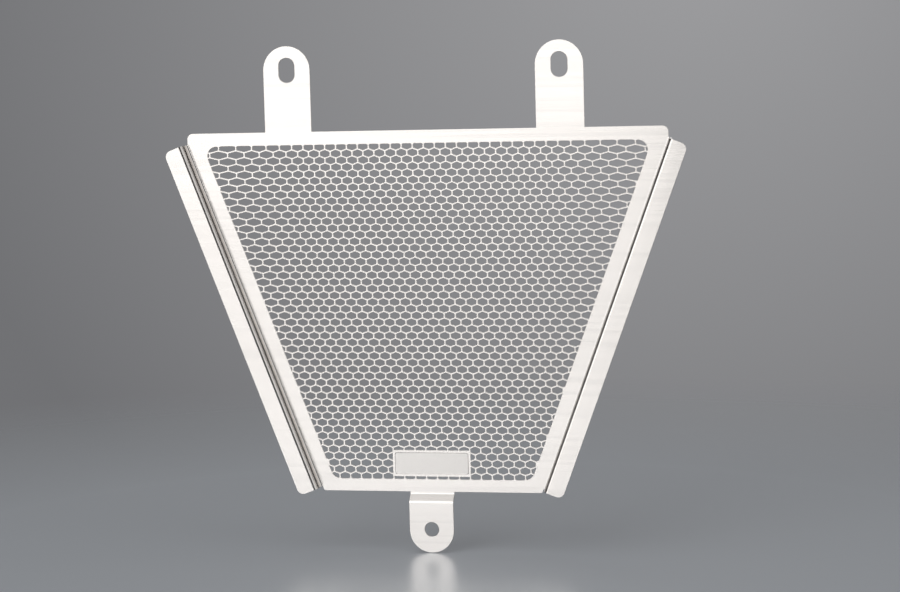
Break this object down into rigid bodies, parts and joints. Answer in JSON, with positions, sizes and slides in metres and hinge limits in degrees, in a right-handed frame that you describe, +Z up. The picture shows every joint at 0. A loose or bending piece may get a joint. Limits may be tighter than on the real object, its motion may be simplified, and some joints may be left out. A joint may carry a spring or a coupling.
{
  "type": "motorcycle oil cooler guard",
  "caption": "Folded stainless sheet guard with a honeycomb window, stepped side flanges, slotted ears and a joggled bolt lug, to shield an oil cooler from stones.",
  "frame": {"origin": "centre of the lower lug's bolt hole, on the lug's rear face, where the guard seats on its bracket", "axes": "+X to the right as seen from the front, -Y out of the front towards the oncoming stones, +Z up towards the slotted ears"},
  "size_m": [0.2342, 0.0071, 0.2263],
  "materials": {
    "stainless_sheet": "satin brushed stainless steel with fine horizontal hairlines"
  },
  "bodies": {
    "root": {"oil_cooler_guard": "stainless_sheet"}
  },
  "joints": []
}
